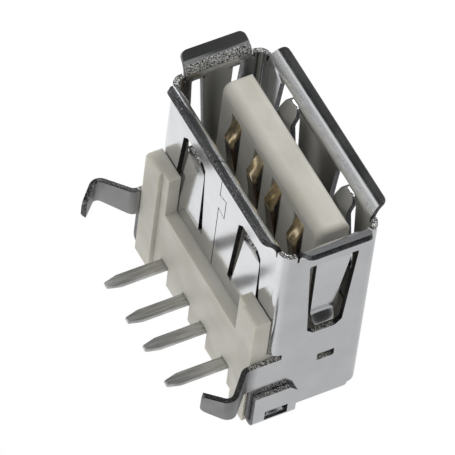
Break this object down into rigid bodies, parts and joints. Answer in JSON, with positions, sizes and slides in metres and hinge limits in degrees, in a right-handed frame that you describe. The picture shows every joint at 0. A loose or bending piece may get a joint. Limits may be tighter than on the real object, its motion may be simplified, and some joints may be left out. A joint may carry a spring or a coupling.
{
  "type": "usb-a socket",
  "caption": "Right-angle board socket for a flat plug: folded metal shell with flared mouth, grip springs and kinked legs round a moulded tongue that carries the contacts.",
  "frame": {"origin": "on the board's top surface, on the socket's mid-plane, at the row of contact tails", "axes": "+Z away from the board, the mouth faces -Y and the plug leaves along -Y, X across the mouth along the row of tails"},
  "size_m": [0.0158, 0.0146, 0.0108],
  "materials": {
    "shell_metal": "bright nickel plate on folded sheet",
    "housing_plastic": "off-white heat-resistant moulding, slightly satin",
    "contact_metal": "gold-coloured plate on the beams, dull grey tin on the tails"
  },
  "bodies": {
    "root": {"shell": "shell_metal", "housing": "housing_plastic", "contact_1": "contact_metal", "contact_2": "contact_metal", "contact_3": "contact_metal", "contact_4": "contact_metal"}
  },
  "joints": []
}
